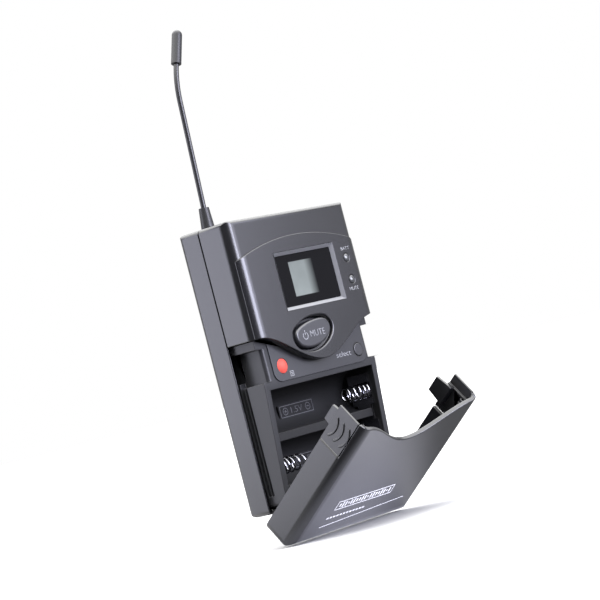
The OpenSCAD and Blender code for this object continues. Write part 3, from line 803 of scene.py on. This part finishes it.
@dataclass
class DisplayWindow:
    """The display's window and the chamfer around it."""

    left: float = -12.75
    right: float = 17.55
    foot: float = 68.65
    head: float = 87.15
    glass_front: float = -13.85
    glass_back: float = -12.75
    slope: float = 1.15

    def glass(self) -> None:
        """A dark glossy plate with rounded upright corners and a small chamfer."""
        bm = bmesh.new()
        bmesh.ops.create_cube(bm, size=1.0)
        span = Vector((self.right - self.left, self.glass_back - self.glass_front, self.head - self.foot))
        bmesh.ops.scale(bm, verts=bm.verts, vec=span * MM)
        deep = [e for e in bm.edges if abs((e.verts[0].co - e.verts[1].co).y) > 0.9 * span.y * MM]
        bmesh.ops.bevel(
            bm, geom=deep, offset=0.75 * MM, offset_type="OFFSET", affect="EDGES", segments=5, profile=0.5,
            material=-1,
        )
        Bench.soften(bm, 0.12, 2)
        mid = at((self.left + self.right) / 2, (self.glass_front + self.glass_back) / 2, (self.foot + self.head) / 2)
        Bench.piece("window_glass", Marks.settle(bm, mid), Look.WINDOW, "case", "window_black", ["window_lens"])

    def trim(self) -> None:
        """A chamfer that slopes out from the window to the shield's front, coloured lighter than the shield as a
        painted highlight.
        """
        wide, tall = self.right - self.left + 0.1, self.head - self.foot + 0.1
        bm = bmesh.new()
        bmesh.ops.create_grid(bm, x_segments=1, y_segments=1, size=0.5)
        bmesh.ops.scale(bm, verts=bm.verts, vec=((wide + 2 * self.slope) * MM, (tall + 2 * self.slope) * MM, 1))
        bmesh.ops.inset_region(
            bm, faces=list(bm.faces), use_boundary=True, use_even_offset=True,
            thickness=self.slope * MM, depth=-self.slope / 1.05 * MM,
        )
        inner = min(bm.faces, key=lambda f: f.calc_center_median().z)
        bmesh.ops.delete(bm, geom=[inner], context="FACES_ONLY")
        bmesh.ops.recalc_face_normals(bm, faces=bm.faces)
        bmesh.ops.solidify(bm, geom=list(bm.faces), thickness=0.05 * MM)
        bmesh.ops.rotate(bm, verts=bm.verts, matrix=Matrix.Rotation(math.radians(90), 3, "X"))
        mid = at((self.left + self.right) / 2, -15.03, (self.foot + self.head) / 2)
        Bench.piece("window_trim", Marks.settle(bm, mid), Look.CHAMFER_HIGHLIGHT, "case", "shield_grey", smooth_angle=20.0)

    def build(self) -> None:
        """Makes the glass and the chamfer around it."""
        self.glass()
        self.trim()


@dataclass
class Lamps:
    """The two indicator lamps, each with a light grey core in a clear dome; the core's glow is a painted highlight."""

    x: float = 24.7
    upper: float = 82.0
    lower: float = 73.9
    dome: float = 1.45
    core: float = 0.62

    def lamp(self, name: str, z: float, node: str) -> None:
        """A clear dome over a glowing core in a dark sleeve; the core's glow is a painted highlight set left of the
        middle.

        Args:
            name: The lamp's name.
            z: Its height above the underside, in millimetres.
            node: The CAD node that the dome stands for.
        """
        bm = bmesh.new()
        bmesh.ops.create_uvsphere(bm, u_segments=32, v_segments=16, radius=self.dome * MM)
        bmesh.ops.scale(bm, verts=bm.verts, vec=(1, 1, 0.42))
        bmesh.ops.rotate(bm, verts=bm.verts, matrix=Matrix.Rotation(math.radians(90), 3, "X"))
        Bench.piece(f"{name}_dome", Marks.settle(bm, at(self.x, -14.8, z)), Look.LAMP, "case", "led_white", [node])
        bm = bmesh.new()
        bmesh.ops.create_cone(bm, cap_ends=True, segments=32, radius1=1.44 * MM, radius2=1.44 * MM, depth=3.0 * MM)
        bmesh.ops.rotate(bm, verts=bm.verts, matrix=Matrix.Rotation(math.radians(90), 3, "X"))
        Bench.soften(bm, 0.15, 2)
        Bench.piece(f"{name}_sleeve", Marks.settle(bm, at(self.x, -12.7, z)), Look.BLACK, "case", "dark_plastic")
        bm = bmesh.new()
        bmesh.ops.create_uvsphere(bm, u_segments=20, v_segments=10, radius=self.core * MM)
        bmesh.ops.scale(bm, verts=bm.verts, vec=(1, 0.5, 1))
        # The core glows as a painted highlight, set left of the lamp's middle.
        Bench.piece(f"{name}_core", Marks.settle(bm, at(self.x - 0.42, -15.12, z)), Look.LAMP_CORE_HIGHLIGHT, "case", "led_white")

    def build(self) -> None:
        """Makes both lamps."""
        self.lamp("battery_lamp", self.upper, "battery_led")
        self.lamp("mute_lamp", self.lower, "mute_led")


@dataclass
class Prints:
    """White marks beside the keys and lamps, and a plain pattern on the door."""

    front: float = -15.02
    key_front: float = -15.3
    panel_front: float = -11.32
    door_front: float = -14.22

    def words(self) -> None:
        """The words for what each key and lamp does."""
        for name, text, x, y, z, width, height, body in (
            ("battery_word", "BATT", 25.0, self.front, 85.4, 4.6, 1.15, "case"),
            ("mute_lamp_word", "MUTE", 24.5, self.front, 70.5, 5.0, 1.2, "case"),
            ("mute_word", "MUTE", -1.7, self.key_front, 57.9, 8.0, 2.2, "mute_button"),
            ("select_word", "select", 13.8, self.panel_front, 48.3, 8.2, 1.9, "case"),
        ):
            bm = Marks.word(text, width, height)
            look = Look.INK_GREY if body == "mute_button" else Look.INK
            slot = "button_grey" if body == "mute_button" else "panel_grey"
            Bench.piece(name, Marks.settle(bm, at(x, y, z)), look, body, slot)

    def power_sign(self) -> None:
        """An open ring with a bar on top, left of the word on the key."""
        bm = bmesh.new()
        Marks.arc(bm, 0, 0, 1.25, 0.28, 130, 280)
        Marks.bar(bm, 0, 1.15, 0.28, 1.7)
        made = Marks.settle(bm, at(-8.4, self.key_front, 57.6))
        Bench.piece("power_sign", made, Look.INK_GREY, "mute_button", "button_grey")

    def sync_sign(self) -> None:
        """A small frame with two lines, beside the infrared window."""
        bm = bmesh.new()
        for x, z, w, h in ((-0.85, 0, 0.18, 1.9), (0.85, 0, 0.18, 1.9), (0, 0.86, 1.6, 0.18), (0, -0.86, 1.6, 0.18),
                           (0, 0.28, 1.0, 0.2), (0, -0.28, 1.0, 0.2)):
            Marks.bar(bm, x, z, w, h)
        Bench.piece("sync_sign", Marks.settle(bm, at(-15.9, self.panel_front, 46.0)), Look.INK, "case", "panel_grey")

    def key_groove_shade(self) -> None:
        """A thin black ring round the set key: painted shade of the groove there."""
        bm = bmesh.new()
        Marks.arc(bm, 0, 0, 2.72, 0.34, 0, 360)
        made = Marks.settle(bm, at(22.3, self.panel_front, 48.6))
        Bench.piece("set_key_groove_shade", made, Look.BLACK, "case", "panel_grey")

    def door_pattern(self) -> None:
        """A framed row of plain level bars over two thin lines of dashes."""
        bm = bmesh.new()
        left, right, low, high = -19.5, 12.0, 18.0, 22.0
        for x, z, w, h in (((left + right) / 2, low, right - left, 0.35), ((left + right) / 2, high, right - left, 0.35),
                           (left, 20.0, 0.35, 4.3), (right, 20.0, 0.35, 4.3)):
            Marks.bar(bm, x, z, w, h)
        for k in range(19):
            tall = 0.8 + 1.9 * abs(math.sin(0.9 * k + 0.4))
            Marks.bar(bm, left + 2.0 + 1.54 * k, 20.0, 0.8, tall)
        for k in range(12):
            Marks.bar(bm, -20.6 + 1.8 * k, 14.2, 1.25, 0.75)
        Marks.bar(bm, 0.5, 11.4, 46.0, 0.28, turn=-3.4)
        made = Marks.settle(bm, at(0, self.door_front, 0), swung_open())
        Bench.piece("door_pattern", made, Look.DOOR_INK, "door", "case_grey")

    def build(self) -> None:
        """Prints everything."""
        self.words()
        self.power_sign()
        self.sync_sign()
        self.key_groove_shade()
        self.door_pattern()


@dataclass
class BayMarks:
    """Raised outlines, signs and figures that show which way each cell goes, coloured lighter than the tray as a
    painted highlight.
    """

    face: float = 5.06
    upper: float = 33.4
    lower: float = 15.2
    half_width: float = 8.9
    half_height: float = 2.0

    def plate(self, name: str, z: float, plus_left: bool) -> None:
        """One plate's raised marks.

        Args:
            name: The piece's name.
            z: The plate's middle height, in millimetres.
            plus_left: Whether the plus sign is on the left.
        """
        side = -1 if plus_left else 1
        bm = Marks.word("1.5V", 6.2, 2.2, 0.16)
        wide, tall = 2 * self.half_width, 2 * self.half_height
        for x, zz, w, h in ((0, self.half_height, wide, 0.25), (0, -self.half_height, wide, 0.25),
                            (-self.half_width, 0, 0.25, tall), (self.half_width, 0, 0.25, tall)):
            Marks.bar(bm, x, zz, w, h, 0.16)
        for x in (-6.2, 6.2):
            Marks.arc(bm, x, 0, 1.25, 0.25, 0, 360, 0.16)
            Marks.bar(bm, x, 0, 1.4, 0.28, 0.16)
        Marks.bar(bm, 6.2 * side, 0, 0.28, 1.4, 0.17)
        Bench.piece(name, Marks.settle(bm, at(0, self.face, z)), Look.MARK_HIGHLIGHT, "case", "tray_grey")

    def build(self) -> None:
        """Marks both plates."""
        self.plate("upper_cell_marks", self.upper, True)
        self.plate("lower_cell_marks", self.lower, False)


# ---------------------------------------------------------------- studio


@dataclass
class Studio:
    """Plain pale floor, soft lights and the camera."""

    floor_z: float = -62.4
    eye: tuple[float, float, float] = (-638.19, -574.30, -9.66)
    looks_along: tuple[float, float, float] = (0.75438, 0.65546, 0.03585)
    roll: float = -14.56
    lens: float = 142.11
    floor_light: float = 2.6
    card_glow: float = 1.0
    tint: tuple[float, float, float] = (0.80, 0.81, 1.0)
    dim_side: tuple[float, float, float] = (-0.95, -0.31, 0.0)
    dark_floor: tuple[float, float, float] = (-0.82, -0.57, 0.0)

    def camera(self) -> None:
        """Places the camera at its viewing angle and rolls it."""
        data = bpy.data.cameras.new("camera")
        data.lens = self.lens
        data.sensor_width = 36.0
        data.clip_start, data.clip_end = 0.01, 400.0
        made = bpy.data.objects.new("camera", data)
        bpy.context.scene.collection.objects.link(made)
        turn = Vector(self.looks_along).to_track_quat("-Z", "Y").to_matrix().to_4x4()
        rolled = turn @ Matrix.Rotation(math.radians(self.roll), 4, "Z")
        made.matrix_world = Matrix.Translation(Vector(self.eye) * MM) @ rolled
        bpy.context.scene.camera = made

    def floor(self) -> None:
        """A wide pale floor under the open door; for reflections and bounced light it carries painted shade and a
        painted glow.
        """
        bm = bmesh.new()
        bmesh.ops.create_grid(bm, x_segments=2, y_segments=2, size=150.0)
        bmesh.ops.translate(bm, verts=bm.verts, vec=(0, 0, self.floor_z * MM))
        mesh = bpy.data.meshes.new("floor")
        bm.to_mesh(mesh)
        bm.free()
        made = bpy.data.objects.new("floor", mesh)
        material = bpy.data.materials.new("pale_floor")
        material.use_nodes = True
        n = NodeSheet(material.node_tree)
        shader = material.node_tree.nodes["Principled BSDF"]
        shader.inputs["Roughness"].default_value = 0.5
        shader.inputs["Specular IOR Level"].default_value = 0.0
        place = n.add("ShaderNodeTexCoord").outputs["Object"]
        # For rays that are not the camera's, the floor is painted darker toward the camera's side and to the right:
        # painted shade seen in the case's reflections.
        way = n.add("ShaderNodeVectorMath", {0: place}, operation="NORMALIZE").outputs[0]
        near = n.add("ShaderNodeVectorMath", {0: way, 1: self.dark_floor}, operation="DOT_PRODUCT")
        bounce = n.spread(near.outputs["Value"], 0.3, 0.75, 0.42, 0.03)
        across = n.add("ShaderNodeSeparateXYZ", {0: place}).outputs[0]
        bounce = n.math("MULTIPLY", bounce, n.spread(across, 0.01, 0.05, 1.0, 0.22))
        seen = n.add("ShaderNodeLightPath").outputs["Is Camera Ray"]
        tone = n.math("MAXIMUM", bounce, n.math("MULTIPLY", seen, 0.42))
        grey = n.add("ShaderNodeCombineColor", {0: tone, 1: tone, 2: tone})
        material.node_tree.links.new(grey.outputs[0], shader.inputs["Base Color"])
        # A patch in front of the case glows for rays that are not the camera's: painted light that brightens the door's
        # front.
        apart = n.add("ShaderNodeVectorMath", {0: place, 1: (-0.002, -0.036, self.floor_z * MM)}, operation="DISTANCE")
        fall = n.spread(apart.outputs["Value"], 0.02, 0.055, self.card_glow, 0.0)
        card = n.math("MULTIPLY", fall, n.math("SUBTRACT", 1.0, seen))
        shader.inputs["Emission Color"].default_value = (*self.tint, 1.0)
        material.node_tree.links.new(card, shader.inputs["Emission Strength"])
        mesh.materials.append(material)
        bpy.context.scene.collection.objects.link(made)

    def softbox(self, name: str, place: tuple[float, float, float], aim: tuple[float, float, float],
                size: tuple[float, float], glow: float) -> None:
        """One rectangular area light.

        Args:
            name: The light's name.
            place: Where it stands, in metres.
            aim: The point that it faces, in metres.
            size: Its width and height, in metres.
            glow: How bright its face is, where 1 is plain white.
        """
        data = bpy.data.lights.new(name, "AREA")
        data.shape = "RECTANGLE"
        data.size, data.size_y = size
        data.energy = glow * math.pi * size[0] * size[1]
        data.color = self.tint
        made = bpy.data.objects.new(name, data)
        made.visible_camera = False
        bpy.context.scene.collection.objects.link(made)
        turn = (Vector(aim) - Vector(place)).to_track_quat("-Z", "Y").to_matrix().to_4x4()
        made.matrix_world = Matrix.Translation(Vector(place)) @ turn

    def overhead(self) -> None:
        """A broad light from above that keeps the floor white to its edge."""
        data = bpy.data.lights.new("overhead", "SUN")
        data.energy = self.floor_light
        data.angle = math.radians(80.0)
        made = bpy.data.objects.new("overhead", data)
        bpy.context.scene.collection.objects.link(made)

    def sky(self) -> None:
        """A white surround whose near side is dim, for dark reflections."""
        world = bpy.data.worlds.new("studio")
        world.use_nodes = True
        n = NodeSheet(world.node_tree)
        world.node_tree.nodes.clear()
        way = n.add("ShaderNodeTexCoord").outputs["Generated"]
        near = n.add("ShaderNodeVectorMath", {0: way, 1: self.dim_side}, operation="DOT_PRODUCT")
        height = n.add("ShaderNodeSeparateXYZ", {0: way}).outputs[2]
        ring = n.spread(near.outputs["Value"], 0.45, 0.8, 0.6, 0.01)
        dome = n.spread(height, 0.35, 0.6, 0.0, 3.6)
        path = n.add("ShaderNodeLightPath").outputs["Is Camera Ray"]
        lit = n.math("MULTIPLY", n.math("ADD", ring, dome), n.math("SUBTRACT", 1.0, path))
        strength = n.math("ADD", lit, path)
        back = n.add("ShaderNodeBackground", {"Color": (1, 1, 1, 1), "Strength": strength})
        out = n.add("ShaderNodeOutputWorld")
        world.node_tree.links.new(back.outputs[0], out.inputs["Surface"])
        bpy.context.scene.world = world

    def build(self) -> None:
        """Sets up the whole studio."""
        bpy.context.scene.view_settings.view_transform = "Standard"
        self.sky()
        self.floor()
        self.overhead()
        self.softbox("left_box", (-0.75, 0.66, 0.1), (0, 0, 0), (0.62, 0.9), 3.3)
        self.softbox("right_box", (0.19, -0.42, 0.12), (0, 0, 0), (0.30, 0.32), 3.9)
        self.softbox("edge_strip", (0.1, -1.2, 0.2), (0, 0, 0), (0.55, 0.9), 15.0)
        self.camera()


def main(frame: dict) -> None:
    """Builds every sub-assembly in order.
    """
    Studio().build()
    key = at(-3.4, 0, 58.1)

    def round_key(spot: Vector) -> bool:
        """Whether a point is on the shield's front, by the key's recess."""
        over, up = (spot.x - key.x) / (13.0 * MM), (spot.z - key.z) / (7.4 * MM)
        return spot.y < at(0, -14.9, 0).y and over * over + up * up < 1.0

    def key_cap(spot: Vector) -> bool:
        """Whether a point is on the mute key's front rim."""
        return spot.y < at(0, -15.2, 0).y

    small = Rounding(0.25)
    SoftenedNodes(
        frame,
        {
            "rear_shell": (Look.SHELL, (Rounding(0.3),)),
            "front_shell": (Look.SHELL, (Rounding(0.3),)),
            "shield": (Look.SHIELD, (Rounding(0.6, 4, round_key), Rounding(0.3, 2, lambda v: not round_key(v)))),
            "battery_tray": (Look.TRAY, (small,)),
            "control_panel": (Look.PANEL, (Rounding(0.12),)),
            "battery_door": (Look.DOOR, (Rounding(0.35, 3),)),
            "latch_left": (Look.LATCH, (Rounding(0.18),)),
            "latch_right": (Look.LATCH, (Rounding(0.18),)),
            "mute_button": (Look.BUTTON, (Rounding(0.9, 5, key_cap),)),
            "set_button": (Look.BUTTON, (Rounding(0.3, 3),)),
            "belt_clip": (Look.CLIP, (Rounding(0.2),)),
        },
    ).build()
    DisplayWindow().build()
    Lamps().build()
    Prints().build()
    BayMarks().build()
    for node, look in {
        "latch_pins": Look.STEEL, "hinge_pins": Look.STEEL, "lcd_panel": Look.WINDOW,
        "lcd_frame": Look.BLACK, "ir_window": Look.RED,
        "main_board": Look.BOARD, "shield_can": Look.TIN, "tact_switches": Look.BLACK, "spring_upper": Look.SPRING,
        "spring_lower": Look.SPRING, "bridge_contact": Look.NICKEL, "left_contacts": Look.NICKEL,
        "polarity_plates": Look.TRAY, "antenna_base": Look.RUBBER, "antenna_boot": Look.RUBBER,
        "antenna_wire": Look.SLEEVE, "antenna_tip": Look.RUBBER, "jack_barrel": Look.NICKEL, "jack_body": Look.BLACK,
        "clip_screws": Look.STEEL, "case_screws": Look.STEEL, "battery_lead": Look.LEAD,
    }.items():
        Bench.dress(frame, node, look)


if __name__ == "__main__":
    logging.basicConfig(level=logging.INFO, format="%(message)s")
    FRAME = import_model()
    main(FRAME)
